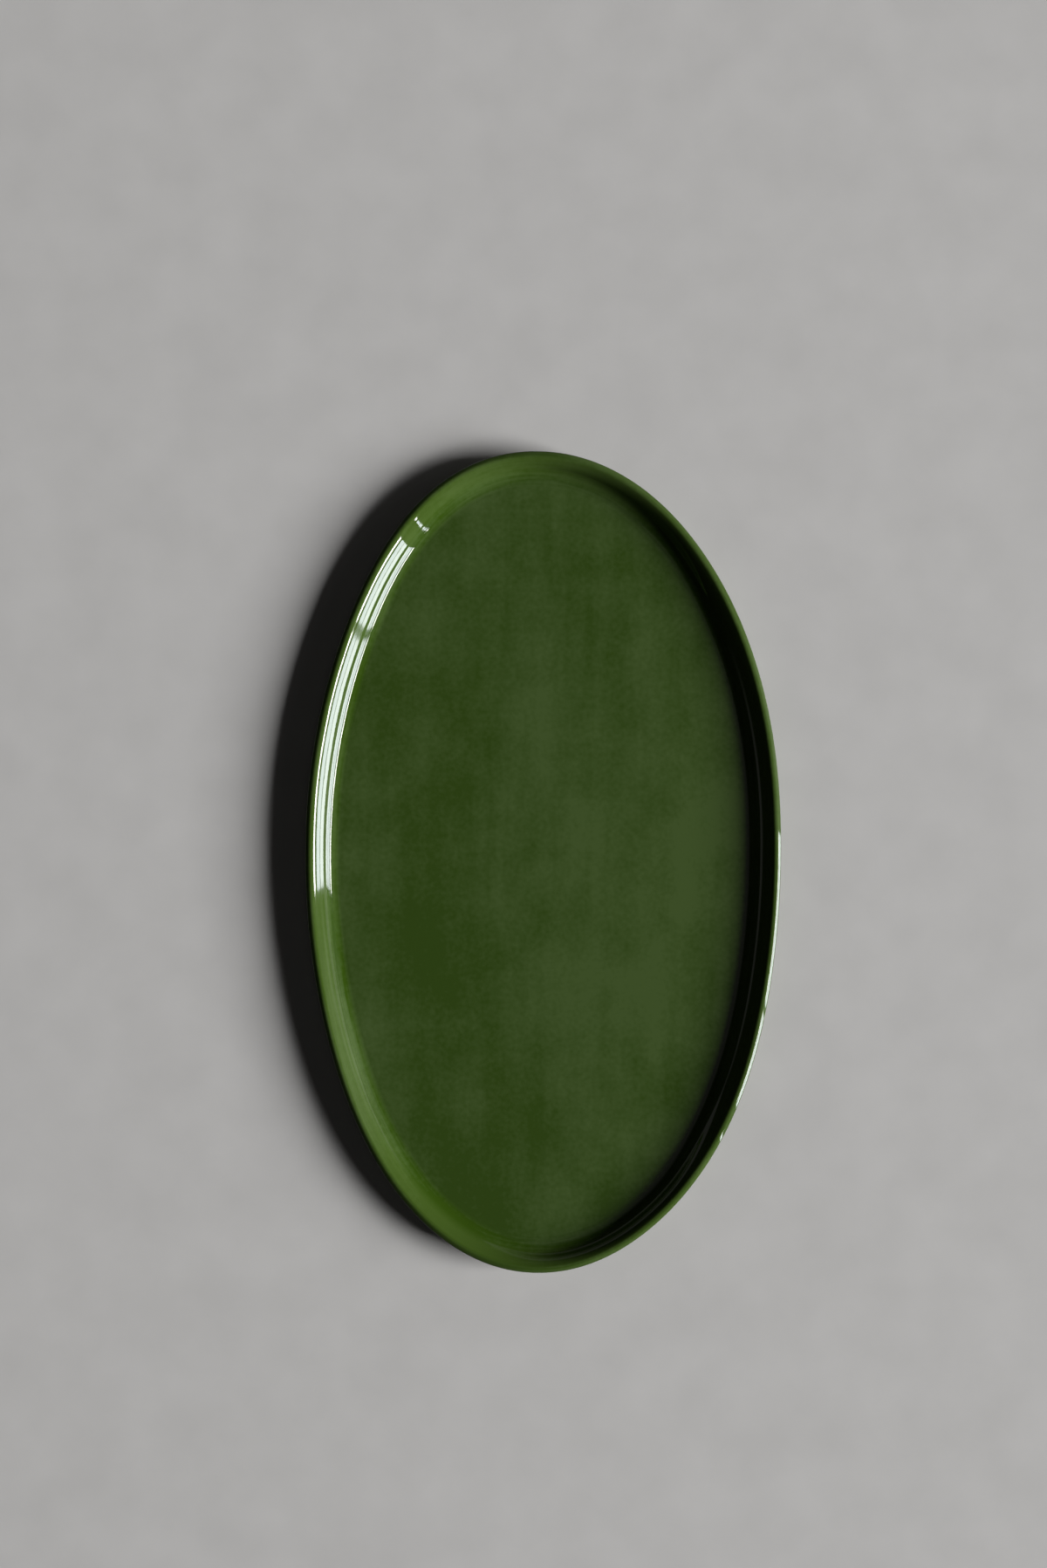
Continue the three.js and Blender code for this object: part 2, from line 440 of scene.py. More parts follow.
def drawn_on(name):
    """The curve of the object that an input names."""
    return add(tree, "GeometryNodeObjectInfo", {"Object": given[name]}).outputs["Geometry"]


tangent = tree.nodes.new("GeometryNodeInputTangent").outputs[0]
section = drawn_on("Section")
section_size = add(tree, "GeometryNodeAttributeDomainSize", {"Geometry": section}, component="CURVE")
rows = section_size.outputs["Point Count"]
columns = calc(tree, "ADD", given["Points Around"], 1)
grid = add(tree, "GeometryNodeMeshGrid", {"Vertices X": columns, "Vertices Y": rows}).outputs["Mesh"]
row = calc(tree, "MODULO", index, rows)
grid_column = calc(tree, "FLOOR", calc(tree, "DIVIDE", index, rows))
column = calc(tree, "MODULO", grid_column, given["Points Around"])
rim_point = sampled(outline, position, column)
rim_outward = calc_vector(tree, "CROSS_PRODUCT", sampled(outline, tangent, column), (0, 0, 1))
print("nodes so far:", len(tree.nodes))

# %% [markdown]
# Steeper walls at the ends
#
# How far across the platter a column stands, from -1 at the left to 1 at the right, says which section it
# takes. A soft band rises just before the two ends and falls again on the right, and inside it the
# section is mixed towards the steeper one.

# %% Section for each column
ENDS_RISE = (-0.36, 0.06)
ENDS_FALL = (0.85, 0.55)


def soft_step(tree, value, start, end):
    """0 at start and 1 at end, with a soft run between them."""
    feeds = {"Value": value, "From Min": start, "From Max": end}
    return add(tree, "ShaderNodeMapRange", feeds, interpolation_type="SMOOTHSTEP").outputs[0]


def soft_band(tree, value, rise, fall):
    """1 between a soft rise and a soft fall, and 0 outside them."""
    return calc(tree, "MULTIPLY", soft_step(tree, value, *rise), soft_step(tree, value, *fall))


across = calc(tree, "DIVIDE", parts(tree, rim_point)["X"], half_width)
at_end = soft_band(tree, across, ENDS_RISE, ENDS_FALL)
side_point = sampled(section, position, row)
end_point = sampled(drawn_on("End Section"), position, row)
change = times(tree, calc_vector(tree, "SUBTRACT", end_point, side_point), at_end)
drawn = parts(tree, calc_vector(tree, "ADD", side_point, change))
print("nodes so far:", len(tree.nodes))

# %% [markdown]
# From the grid to the platter
#
# Close to the rim the section keeps its distance from the outline. Further in it shrinks evenly towards
# the middle, because an oval that is only inset gets creases. The last column lies on the first and the
# middle rows shrink to one point, so merging close points closes the seam and both poles. The faces of a
# grid that is bent round this way look inwards, and Flip Faces turns them out. Two attributes stay on the
# mesh: inset, how far in from the rim a point lies, and open_air, which the section carries in its
# points' radius.

# %% Swept surface
MERGE_DISTANCE = 0.001 * MM


def stored(geometry, name, value):
    feeds = {"Geometry": geometry, "Name": name, "Value": value}
    return add(tree, "GeometryNodeStoreNamedAttribute", feeds, data_type="FLOAT", domain="POINT").outputs[0]


fade = calc(tree, "MULTIPLY", given["Fade From"], -1)
near_rim = calc(tree, "MAXIMUM", drawn["X"], fade)
towards_middle = calc(tree, "ADD", half_width, calc(tree, "MINIMUM", drawn["X"], fade))
shrink = calc(tree, "DIVIDE", towards_middle, calc(tree, "ADD", half_width, fade))
plan = times(tree, calc_vector(tree, "ADD", rim_point, times(tree, rim_outward, near_rim)), shrink)
place = calc_vector(tree, "ADD", plan, vector(tree, 0, 0, drawn["Z"]))
surface = add(tree, "GeometryNodeSetPosition", {"Geometry": grid, "Position": place}).outputs[0]
surface = stored(surface, "inset", calc(tree, "MULTIPLY", drawn["X"], -1))
point_radius = tree.nodes.new("GeometryNodeInputRadius").outputs[0]
surface = stored(surface, "open_air", sampled(section, point_radius, row, "FLOAT"))
merge_feeds = {"Geometry": surface, "Distance": MERGE_DISTANCE}
merged = add(tree, "GeometryNodeMergeByDistance", merge_feeds).outputs[0]
closed = add(tree, "GeometryNodeFlipFaces", {"Mesh": merged}).outputs[0]
print("nodes so far:", len(tree.nodes))

# %% [markdown]
# The glaze's unevenness
#
# A glaze that has run in the kiln is never optically flat, and that is why the reflections in the real
# wall have soft, wandering edges. Slow noise moves the open faces along their normals by a few hundredths
# of a millimetre. The tree ends as every tree here should, with its instances made real and its material
# set.

# %% Unevenness, smooth faces and the end of the tree
normal = tree.nodes.new("GeometryNodeInputNormal").outputs[0]
open_air = add(tree, "GeometryNodeInputNamedAttribute", {"Name": "open_air"}, data_type="FLOAT")
noise_scale = calc(tree, "DIVIDE", 1, given["Uneven Patches"])
noise_feeds = {"W": given["Seed"], "Scale": noise_scale, "Detail": 1.0}
noise = add(tree, "ShaderNodeTexNoise", noise_feeds, noise_dimensions="4D").outputs[0]
swing = calc(tree, "MULTIPLY", calc(tree, "SUBTRACT", noise, 0.5), given["Unevenness"])
shift = times(tree, normal, calc(tree, "MULTIPLY", swing, open_air.outputs["Attribute"]))
uneven = add(tree, "GeometryNodeSetPosition", {"Geometry": closed, "Offset": shift}).outputs[0]
smooth = add(tree, "GeometryNodeSetShadeSmooth", {"Geometry": uneven}).outputs[0]
real = add(tree, "GeometryNodeRealizeInstances", {"Geometry": smooth}).outputs[0]
dressed = add(tree, "GeometryNodeSetMaterial", {"Geometry": real, "Material": given["Material"]}).outputs[0]
add(tree, "NodeGroupOutput", {"Geometry": dressed})
print("nodes in the sweep:", len(tree.nodes))

# %% [markdown]
# Helpers for materials
#
# The materials are node trees as well, so the helpers above serve them too. These few are for looks:
# noise, ramps, bands, specks and mixed colours. All patterns are laid out in the object's own coordinates
# or along the inset attribute, so they stay where they are when the view changes. Noise seldom leaves its
# middle tones, so many ramps run from one end of those to the other.

# %% Helpers for materials
MIDDLE_TONES = (0.3, 0.7)


def new_material(name):
    material = bpy.data.materials.new(name)
    material.use_nodes = True
    nodes = material.node_tree
    nodes.nodes.clear()
    where = add(nodes, "ShaderNodeTexCoord", {}).outputs["Object"]
    return material, nodes, where


def attribute(nodes, name):
    return add(nodes, "ShaderNodeAttribute", {}, attribute_name=name).outputs["Fac"]


def noise_on(nodes, coordinates, scale, detail=2.0, roughness=0.5):
    feeds = {"Vector": coordinates, "Scale": scale, "Detail": detail, "Roughness": roughness}
    return add(nodes, "ShaderNodeTexNoise", feeds).outputs[0]


def stretched(nodes, coordinates, scale):
    return add(nodes, "ShaderNodeMapping", {"Vector": coordinates, "Scale": scale}).outputs[0]


def ramp(nodes, value, start, end, low=0.0, high=1.0):
    """value from start to end becomes low to high, and stays there beyond."""
    feeds = {"Value": value, "From Min": start, "From Max": end, "To Min": low, "To Max": high}
    return add(nodes, "ShaderNodeMapRange", feeds).outputs[0]


def band(nodes, value, rise, fall):
    """1 between a rise and a fall, and 0 outside them."""
    return calc(nodes, "MULTIPLY", ramp(nodes, value, *rise), ramp(nodes, value, *fall))


def blend(nodes, factor, first, second):
    return add(nodes, "ShaderNodeMix", {"Factor": factor, 2: first, 3: second}).outputs[0]


def blend_colours(nodes, factor, first, second):
    feeds = {"Factor": factor, 6: first, 7: second}
    return add(nodes, "ShaderNodeMix", feeds, data_type="RGBA").outputs[2]


def tinted(nodes, colour, mask, share, tint):
    """The colour, mixed with a share of the tint where the mask is 1."""
    return blend_colours(nodes, calc(nodes, "MULTIPLY", mask, share), colour, tint)


def specks(nodes, where, scale, edge, chance):
    """A mask of round specks, one in the middle of each cell that the dice choose."""
    cells = add(nodes, "ShaderNodeTexVoronoi", {"Vector": where, "Scale": scale, "Randomness": 1.0}).outputs
    dice = add(nodes, "ShaderNodeSeparateColor", {0: cells["Color"]}).outputs[0]
    chosen = calc(nodes, "LESS_THAN", dice, chance)
    return calc(nodes, "MULTIPLY", ramp(nodes, cells["Distance"], *edge), chosen)


def bumped(nodes, height, strength, depth):
    feeds = {"Strength": strength, "Distance": depth, "Height": height}
    return add(nodes, "ShaderNodeBump", feeds).outputs[0]


def set_surface(nodes, feeds):
    shader = add(nodes, "ShaderNodeBsdfPrincipled", feeds).outputs[0]
    add(nodes, "ShaderNodeOutputMaterial", {"Surface": shader})


# %% [markdown]
# Patterns in the glaze
#
# The glaze is an olive-green glass over buff clay. Its shade comes from noise at three scales: broad
# clouds, streaks along the platter where the glaze was poured, and a fine mottle. On the wall the streaks
# follow the rim instead, as the glaze ran there: their noise is squeezed across the rim by the inset. The
# clouds are partly the glaze's own and partly a painted reflection. Their place in the noise was chosen so
# that they lie about where the real patches do, and those patches are partly the room's soft grey veil
# mirrored in the floor.

# %% Glaze patterns
CLOUDS_AND_VEIL = {"scale": 8, "detail": 5, "roughness": 0.62}
# The clouds' place also carries a painted reflection of the room's soft veil as lighter and darker glaze.
CLOUD_AND_VEIL_PLACE = (7.71, 2.89, 4.31)
POUR_STREAKS = {"scale": 110, "detail": 2}
POUR_STRETCH = (1, 0.1, 1)
RIM_STREAKS = {"scale": 24, "detail": 3}
RIM_STREAK_SQUEEZE = 25.0
WALL_FADE = (20 * MM, 14 * MM)
MOTTLE = {"scale": 380, "detail": 3}
CLOUD_AND_VEIL_SHARE = 0.68
STREAK_SHARE = 0.15
MOTTLE_SHARE = 0.17


def glaze_patterns(nodes, where, inset):
    """The glaze's shade, partly a painted reflection, the streaks along the rim, and the mask of the wall
    that has them.
    """
    # Painted reflection: the broad clouds also stand in for the room's soft grey veil mirrored in the
    # floor.
    cloud_and_veil_place = add(nodes, "ShaderNodeMapping", {"Vector": where, "Location": CLOUD_AND_VEIL_PLACE}).outputs[0]
    clouds_and_veil = noise_on(nodes, cloud_and_veil_place, **CLOUDS_AND_VEIL)
    pour_streaks = noise_on(nodes, stretched(nodes, where, POUR_STRETCH), **POUR_STREAKS)
    mottle = noise_on(nodes, where, **MOTTLE)
    plan = parts(nodes, where)
    along_rim = vector(nodes, plan["X"], plan["Y"], calc(nodes, "MULTIPLY", inset, RIM_STREAK_SQUEEZE))
    rim_streaks = ramp(nodes, noise_on(nodes, along_rim, **RIM_STREAKS), *MIDDLE_TONES)
    on_wall = ramp(nodes, inset, *WALL_FADE)
    streaks = blend(nodes, on_wall, pour_streaks, rim_streaks)
    shade = calc(nodes, "MULTIPLY", clouds_and_veil, CLOUD_AND_VEIL_SHARE)
    shade = calc(nodes, "ADD", shade, calc(nodes, "MULTIPLY", streaks, STREAK_SHARE))
    shade = calc(nodes, "ADD", shade, calc(nodes, "MULTIPLY", mottle, MOTTLE_SHARE))
    return shade, rim_streaks, on_wall


# %% [markdown]
# The green glaze
#
# The shade runs between a deep green and an olive. The glaze is lighter over the shoulder and the lip,
# partly because it stretches thin there and partly as painted light, standing in for the window light that
# the wall catches. It is a little darker where it pools in the cove, and iron specks are scattered in it.
# The gloss is a low and slightly varying roughness, with the index of refraction of a soft glass. A very
# fine bump gives the surface its orange peel and lets the streaks along the rim break up the reflections.

# %% Green glaze
DEEP_GREEN = (0.0203, 0.0440, 0.0031, 1)
OLIVE_GREEN = (0.0410, 0.0705, 0.0165, 1)
# Lighter greens for the shoulder and the lip: partly thin glaze, partly painted light.
SHOULDER_THIN_AND_LIT_GREEN = (0.0475, 0.0790, 0.0160, 1)
LIP_THIN_AND_LIT_GREEN = (0.0500, 0.0755, 0.0245, 1)
IRON_BROWN = (0.008, 0.007, 0.004, 1)
SHADE_RANGE = (0.41, 0.57)
# Where and how much the shoulder and lip are lightened, partly for thin glaze and partly as painted light.
SHOULDER_THIN_AND_LIT = {"rise": (1 * MM, 4 * MM), "fall": (12 * MM, 8 * MM)}
SHOULDER_THIN_AND_LIT_SHARE = 0.5
LIP_THIN_AND_LIT_FADE = (2.2 * MM, 0.6 * MM)
LIP_THIN_AND_LIT_SHARE = 0.5
POOL = {"rise": (9 * MM, 13 * MM), "fall": (19 * MM, 15 * MM)}
POOL_SHARE = 0.12
IRON_SPECKS = {"scale": 36, "edge": (0.018, 0.010), "chance": 0.12}
IRON_SHARE = 0.7
GLOSS_PATCHES = {"scale": 60, "detail": 3}
GLOSS_RANGE = (0.02, 0.055)
FINE_PEEL = {"scale": 850, "detail": 1}
FINE_PEEL_SHARE = 0.2
BROAD_PEEL = {"scale": 190, "detail": 1}
RIM_PEEL_SHARE = 0.8
PEEL_DEPTH = 0.0035 * MM
GLAZE_IOR = 1.42


def green_glaze():
    material, nodes, where = new_material("green_glaze")
    inset = attribute(nodes, "inset")
    shade, rim_streaks, on_wall = glaze_patterns(nodes, where, inset)
    colour = blend_colours(nodes, ramp(nodes, shade, *SHADE_RANGE), DEEP_GREEN, OLIVE_GREEN)
    # Painted light: the shoulder is made lighter, partly for thin glaze and partly for the window light on
    # the wall.
    colour = tinted(nodes, colour, band(nodes, inset, **SHOULDER_THIN_AND_LIT), SHOULDER_THIN_AND_LIT_SHARE, SHOULDER_THIN_AND_LIT_GREEN)
    # Painted light: the lip is made lighter, partly for thin glaze and partly for the light that it
    # catches.
    colour = tinted(nodes, colour, ramp(nodes, inset, *LIP_THIN_AND_LIT_FADE), LIP_THIN_AND_LIT_SHARE, LIP_THIN_AND_LIT_GREEN)
    colour = tinted(nodes, colour, band(nodes, inset, **POOL), POOL_SHARE, DEEP_GREEN)
    colour = tinted(nodes, colour, specks(nodes, where, **IRON_SPECKS), IRON_SHARE, IRON_BROWN)
    gloss = ramp(nodes, noise_on(nodes, where, **GLOSS_PATCHES), *MIDDLE_TONES, *GLOSS_RANGE)
    fine_peel = calc(nodes, "MULTIPLY", noise_on(nodes, where, **FINE_PEEL), FINE_PEEL_SHARE)
    peel = calc(nodes, "ADD", fine_peel, noise_on(nodes, where, **BROAD_PEEL))
    rim_peel = calc(nodes, "MULTIPLY", rim_streaks, calc(nodes, "MULTIPLY", on_wall, RIM_PEEL_SHARE))
    bump = bumped(nodes, calc(nodes, "ADD", peel, rim_peel), 1.0, PEEL_DEPTH)
    set_surface(nodes, {"Base Color": colour, "Roughness": gloss, "Normal": bump, "IOR": GLAZE_IOR})
    return material


glaze = green_glaze()
print("glaze made with", len(glaze.node_tree.nodes), "nodes")

# %% [markdown]
# The bare clay
#
# Only the foot ring and a narrow margin on each side of it show the clay. Fired stoneware is buff and
# matt, with sandy grain and dark iron specks, and it toasts to a warmer brown in a line beside the glaze,
# where the melt drew the salts out. The face that the platter stands on is rubbed paler by use.

# %% Fired clay
BUFF = (0.44, 0.31, 0.19, 1)
SAND = (0.56, 0.43, 0.29, 1)
TOAST = (0.27, 0.145, 0.07, 1)
SOOT = (0.06, 0.04, 0.03, 1)
CLAY_PATCHES = {"scale": 90, "detail": 3}
PATCH_RANGE = (0.35, 0.7)
GRAIN = {"scale": 1400, "detail": 4, "roughness": 0.65}
DARK_GRAIN = (0.55, 0.75)
DARK_GRAIN_SHARE = 0.35
TOASTED_WIDTH = 1.2 * MM
TOASTED_SHARE = 0.8
RUBBED_HEIGHTS = (0.25 * MM, 0.02 * MM)
RUBBED_SHARE = 0.45
SOOT_SPECKS = {"scale": 260, "edge": (0.22, 0.10), "chance": 0.16}
SOOT_SHARE = 0.75
MATT_RANGE = (0.72, 0.9)
GRAIN_STRENGTH = 0.6
GRAIN_DEPTH = 0.12 * MM


def line_at(nodes, inset, place):
    """A mask that is 1 on a line round the platter and fades out on both sides of it."""
    distance = calc(nodes, "ABSOLUTE", calc(nodes, "SUBTRACT", inset, place))
    return ramp(nodes, distance, TOASTED_WIDTH, 0.0)


def fired_clay():
    material, nodes, where = new_material("fired_clay")
    inset = attribute(nodes, "inset")
    grain = noise_on(nodes, where, **GRAIN)
    patches = ramp(nodes, noise_on(nodes, where, **CLAY_PATCHES), *PATCH_RANGE)
    colour = blend_colours(nodes, patches, BUFF, SAND)
    colour = tinted(nodes, colour, ramp(nodes, grain, *DARK_GRAIN), DARK_GRAIN_SHARE, TOAST)
    toasted = calc(nodes, "MAXIMUM", line_at(nodes, inset, COAT_END), line_at(nodes, inset, BASE_EDGE))
    colour = tinted(nodes, colour, toasted, TOASTED_SHARE, TOAST)
    rubbed = ramp(nodes, parts(nodes, where)["Z"], *RUBBED_HEIGHTS)
    colour = tinted(nodes, colour, rubbed, RUBBED_SHARE, SAND)
    colour = tinted(nodes, colour, specks(nodes, where, **SOOT_SPECKS), SOOT_SHARE, SOOT)
    matt = ramp(nodes, grain, *MIDDLE_TONES, *MATT_RANGE)
    bump = bumped(nodes, grain, GRAIN_STRENGTH, GRAIN_DEPTH)
    set_surface(nodes, {"Base Color": colour, "Roughness": matt, "Normal": bump})
    return material


clay = fired_clay()
print("clay made with", len(clay.node_tree.nodes), "nodes")

# %% [markdown]
# Making a piece
#
# A section becomes a curve object, which the tree reads. The modifier's inputs are set by their
# identifiers before anything is evaluated. The evaluated result is copied into a plain mesh, and then the
# modifier and the drawn sections have done their work and go. A mesh without open edges whose signed
# volume is above zero is closed and faces outwards.

# %% Sweep one piece
SWEEP_SIZES = {
    "Points Around": 480, "Width": CLAY_WIDTH, "Length": CLAY_LENGTH, "Oval Power": 2.05,
    "Three Lobe Swell": 0.85 * MM, "Three Lobe Peak": radians(7),
    "Four Lobe Swell": 0.4 * MM, "Four Lobe Peak": radians(34),
    "Five Lobe Swell": 0.65 * MM, "Five Lobe Peak": radians(35),
    "Seven Lobe Swell": 0.25 * MM, "Seven Lobe Peak": radians(15),
    "Fade From": 40 * MM, "Uneven Patches": 28 * MM, "Seed": 7.0,
}
CUBIC_CENTIMETRE = 1e-6
socket_ids = {item.name: item.identifier for item in tree.interface.items_tree if item.in_out == "INPUT"}


def section_object(name, section):
    """A section as a curve in the XZ plane. A point's radius says whether its face is open to the air."""
    curve = bpy.data.curves.new(name, "CURVE")
    curve.dimensions = "3D"
    spline = curve.splines.new("POLY")
    spline.points.add(len(section) - 1)
    for knot, (point, open_flag) in zip(spline.points, section):
        knot.co = (point.x, 0, point.y, 1)
        knot.radius = open_flag
    drawing = bpy.data.objects.new(name, curve)
    bpy.context.scene.collection.objects.link(drawing)
    return drawing


def report_solid(piece):
    solid = bmesh.new()
    solid.from_mesh(piece.data)
    open_edges = sum(not edge.is_manifold for edge in solid.edges)
    volume = solid.calc_volume(signed=True) / CUBIC_CENTIMETRE
    print(f"{piece.name}: {len(solid.faces)} faces, {open_edges} open edges, {volume:.1f} cubic cm")
    solid.free()


def swept_piece(name, draw, material, unevenness):
    piece = bpy.data.objects.new(name, bpy.data.meshes.new(name + "_start"))
    bpy.context.scene.collection.objects.link(piece)
    side_drawing = section_object(name + "_side_section", draw(side_rim))
    end_drawing = section_object(name + "_end_section", draw(end_rim))
    own_inputs = {
        "Section": side_drawing, "End Section": end_drawing, "Material": material, "Unevenness": unevenness,
    }
    sweep = piece.modifiers.new("sweep", "NODES")
    sweep.node_group = tree
    for key, value in {**SWEEP_SIZES, **own_inputs}.items():
        sweep[socket_ids[key]] = value
    depsgraph = bpy.context.evaluated_depsgraph_get()
    swept = piece.evaluated_get(depsgraph)
    mesh = bpy.data.meshes.new_from_object(swept, preserve_all_data_layers=True, depsgraph=depsgraph)
    piece.modifiers.remove(sweep)
    piece.data = mesh
    bpy.data.objects.remove(side_drawing)
    bpy.data.objects.remove(end_drawing)
    report_solid(piece)
    return piece


# %% [markdown]
# The three pieces
#
# One call makes each piece, from the function that draws its section. Only the main coat is uneven. The
# clay lies under it or is wiped flat, and the patch inside the foot ring faces down, where no window is
# mirrored.

# %% Coat, clay and base glaze
COAT_UNEVENNESS = 0.09 * MM

glaze_coat = swept_piece("platter_glaze_coat", coat_section, glaze, COAT_UNEVENNESS)
clay_body = swept_piece("platter_clay_body", clay_section, clay, 0.0)
base_glaze = swept_piece("platter_base_glaze", base_section, glaze, 0.0)

# %% [markdown]
# Tying the pieces to the frame
#
# Nothing moves on a platter, so the CAD model has a single body, root. Each piece rides on it and stands
# for the node of the same form, which is hidden.

# %% Ride on the frame
for piece, node, slot in (
    (glaze_coat, "glaze_coat", "green_glaze"),
    (clay_body, "clay_body", "fired_clay"),
    (base_glaze, "base_glaze", "green_glaze"),
):
    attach(piece, "root")
    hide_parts(node)

# %% [markdown]
# The floor
#
# A plain pale floor, wide enough to fill the picture from above. It is matt, so that it shows the
# platter's shadow and no clear reflections, and its tone varies only slightly.

# %% Pale floor
FLOOR_SIZE = 9.0
FLOOR_TONES = ((0.395, 0.388, 0.381, 1), (0.423, 0.416, 0.409, 1))
FLOOR_PATCHES = {"scale": 30, "detail": 4}
FLOOR_ROUGHNESS = 0.85


def pale_floor():
    mesh = bpy.data.meshes.new("pale_floor")
    half = FLOOR_SIZE / 2
    corners = [(-half, -half, 0), (half, -half, 0), (half, half, 0), (-half, half, 0)]
    mesh.from_pydata(corners, [], [(0, 1, 2, 3)])
    floor = bpy.data.objects.new("pale_floor", mesh)
    bpy.context.scene.collection.objects.link(floor)
    material, nodes, where = new_material("pale_floor")
    tone = ramp(nodes, noise_on(nodes, where, **FLOOR_PATCHES), *MIDDLE_TONES)
    colour = blend_colours(nodes, tone, *FLOOR_TONES)
    set_surface(nodes, {"Base Color": colour, "Roughness": FLOOR_ROUGHNESS})
    mesh.materials.append(material)
    return floor


floor = pale_floor()
print("floor:", FLOOR_SIZE, "m square")

# %% [markdown]
# The light
#
# Two kinds of lamp share the work, so that the light and the reflections can be set apart. A large
# daylight lamp, far away on the right, lights everything at a plain level, at which a colour renders
# about as it is written. Reflections don't show it. The panes of a window are nearer, and are only
# mirrored. They draw the two bright bands on the left wall: one in the swelling shoulder, and one below
# it in the hollow and the cove, which shows the window upside down. The bars between the panes show as
# thin dark gaps in those bands.

# %% Daylight and window
WINDOW_AZIMUTH = radians(-18.5)
PANE_DISTANCE = 3.5
PANE_COLUMNS = {"edge": (-1.07, -1.02), "near": (-0.69, 0.075), "far": (0.135, 1.14)}
PANE_ROWS = {"sill": (0.68, 1.14), "low": (1.20, 1.71), "high": (1.95, 2.21)}
PANE_RADIANCE = {"sill": 24.0, "low": 23.0, "high": 50.0}
PANE_COLOUR = {"sill": (0.92, 0.97, 1.0), "low": (0.88, 0.94, 1.0), "high": (1.0, 0.99, 0.97)}
DAYLIGHT_DISTANCE = 17.5
DAYLIGHT_SIDES = (-1.8, 7.4)
DAYLIGHT_HEIGHTS = (3.4, 11.0)
DAYLIGHT_RADIANCE = 50.0
WHITE = (1.0, 1.0, 1.0)


def upright_lamp(name, distance, sides, heights, radiance, colour):
    """A rectangle of light between two sides and two heights, square to the window's direction."""
    width, tall = sides[1] - sides[0], heights[1] - heights[0]
    lamp = bpy.data.lights.new(name, "AREA")
    lamp.shape = "RECTANGLE"
    lamp.size, lamp.size_y = width, tall
    lamp.energy = radiance * pi * width * tall
    lamp.color = colour
    holder = bpy.data.objects.new(name, lamp)
    away = Vector((cos(WINDOW_AZIMUTH), sin(WINDOW_AZIMUTH), 0))
    sideways = Vector((-away.y, away.x, 0))
    holder.location = away * distance + sideways * sum(sides) / 2 + Vector((0, 0, sum(heights) / 2))
    holder.rotation_euler = (-away).to_track_quat("-Z", "Y").to_euler()
    bpy.context.scene.collection.objects.link(holder)
    return holder


def window_pane(column, row):
    name, sides, heights = f"window_{column}_{row}", PANE_COLUMNS[column], PANE_ROWS[row]
    holder = upright_lamp(name, PANE_DISTANCE, sides, heights, PANE_RADIANCE[row], PANE_COLOUR[row])
    holder.visible_diffuse = False
    return holder


daylight = upright_lamp(
    "daylight", DAYLIGHT_DISTANCE, DAYLIGHT_SIDES, DAYLIGHT_HEIGHTS, DAYLIGHT_RADIANCE, WHITE
)
daylight.visible_glossy = False
panes = [window_pane(column, row) for column in PANE_COLUMNS for row in PANE_ROWS]
print("lamps:", daylight.name, "and", len(panes), "panes")

# %% [markdown]
# The room
#
# The rest of the room is dim, so the wall of the platter that faces away from the window stays dark.
# Three soft patches are brighter, and they are there to be mirrored in the glaze. The one overhead lies
# as a faint grey veil on the flat floor of the platter. One beside the window lifts the lower left wall.
# A low strip near the horizon shows in the steepest line of the wall, and is brighter on the window's
# side than elsewhere. The patches' edges are given in the parts of a direction: Z is 0 at the horizon and
# 1 overhead, and X is 1 straight to the right. Where a low view looks past the floor, Is Camera Ray puts
# a plain pale backdrop in place of all this.

# %% Dim world with three paler patches
DIM = 0.006
OVERHEAD = 0.13
OVERHEAD_RISE = (0.92, 0.985)
BESIDE = 0.8
BESIDE_HEIGHTS = {"rise": (0.08, 0.30), "fall": (0.66, 0.50)}
BESIDE_SIDES = {"rise": (-0.05, 0.12), "fall": (0.48, 0.20)}
BESIDE_FRONT = (0.1, 0.3)
FOLDS = {"scale": 1.0, "detail": 2}
FOLD_STRETCH = (2, 2, 9)
FOLD_TONES = (0.35, 0.65)
FOLD_LEVELS = (0.5, 1.5)
LOW_TOP = (0.20, 0.155)
LOW_START = (-0.35, -0.05)
LOW_TURN = (0.4, 0.85)
LOW_LEVELS = (0.22, 1.2)
BACKDROP = 0.55
ROOM_COLOUR = (1.0, 0.98, 0.95, 1)


def patch_beside(room, direction, aim):
    """A patch next to the window, with soft folds. Y over X tells how far round a direction lies."""
    round_about = calc(room, "DIVIDE", aim["Y"], aim["X"])
    side_band = soft_band(room, round_about, **BESIDE_SIDES)
    side_band = calc(room, "MULTIPLY", side_band, soft_step(room, aim["X"], *BESIDE_FRONT))
    whole = calc(room, "MULTIPLY", soft_band(room, aim["Z"], **BESIDE_HEIGHTS), side_band)
    folds = noise_on(room, stretched(room, direction, FOLD_STRETCH), **FOLDS)
    return calc(room, "MULTIPLY", whole, ramp(room, folds, *FOLD_TONES, *FOLD_LEVELS))


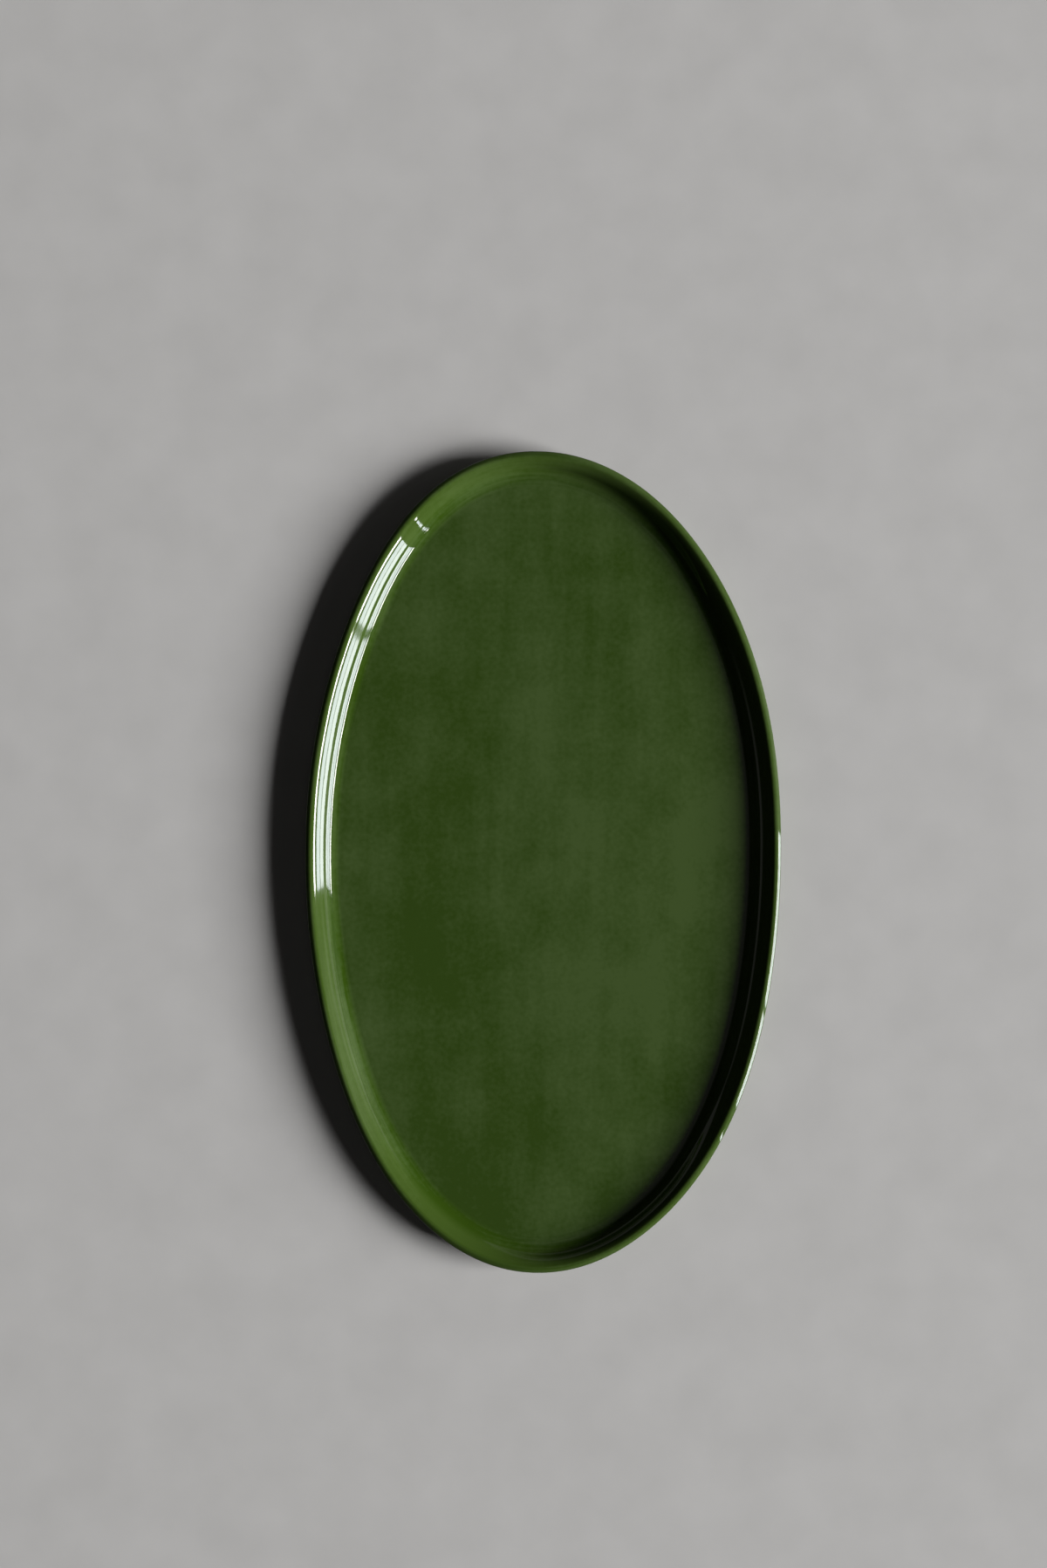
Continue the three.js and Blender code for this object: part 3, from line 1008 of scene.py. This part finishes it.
def low_strip(room, aim):
    """A strip from the horizon up to LOW_TOP, whose level changes with how far a direction points right."""
    strip = soft_step(room, aim["Z"], *LOW_TOP)
    strip = calc(room, "MULTIPLY", strip, soft_step(room, aim["Y"], *LOW_START))
    return calc(room, "MULTIPLY", strip, ramp(room, aim["X"], *LOW_TURN, *LOW_LEVELS))


world = bpy.data.worlds.new("dim_room")
world.use_nodes = True
room = world.node_tree
direction = add(room, "ShaderNodeTexCoord", {}).outputs["Generated"]
aim = parts(room, direction)
overhead = calc(room, "MULTIPLY", soft_step(room, aim["Z"], *OVERHEAD_RISE), OVERHEAD)
beside = calc(room, "MULTIPLY", patch_beside(room, direction, aim), BESIDE)
patches = calc(room, "ADD", calc(room, "ADD", overhead, beside), low_strip(room, aim))
seen_directly = add(room, "ShaderNodeLightPath", {}).outputs["Is Camera Ray"]
strength = blend(room, seen_directly, calc(room, "ADD", patches, DIM), BACKDROP)
background = room.nodes["Background"]
background.inputs["Color"].default_value = ROOM_COLOUR
room.links.new(strength, background.inputs["Strength"])
bpy.context.scene.world = world
print("world made with", len(room.nodes), "nodes")

# %% [markdown]
# The camera
#
# The photograph was taken from straight above, a little off the platter's middle, on a portrait frame. A
# normal lens is assumed. Its distance follows from how many of the picture's pixels one metre of rim
# takes.

# %% Camera over the platter
PICTURE_SIZE = (1200, 1797)
RIM_MIDDLE_PIXEL = (622.5, 988.0)
PIXELS_PER_METRE = 2093
LENS = 50
SENSOR = 36

view = bpy.data.cameras.new("overhead")
view.lens = LENS
view.sensor_width = SENSOR
camera = bpy.data.objects.new("overhead", view)
off_x = (PICTURE_SIZE[0] / 2 - RIM_MIDDLE_PIXEL[0]) / PIXELS_PER_METRE
off_y = (RIM_MIDDLE_PIXEL[1] - PICTURE_SIZE[1] / 2) / PIXELS_PER_METRE
above_rim = LENS / SENSOR * PICTURE_SIZE[1] / PIXELS_PER_METRE
camera.location = (off_x, off_y, LIP_TOP + above_rim)
bpy.context.scene.collection.objects.link(camera)
bpy.context.scene.camera = camera
bpy.context.scene.view_settings.view_transform = "Standard"
print(f"camera {above_rim:.3f} m above the rim")
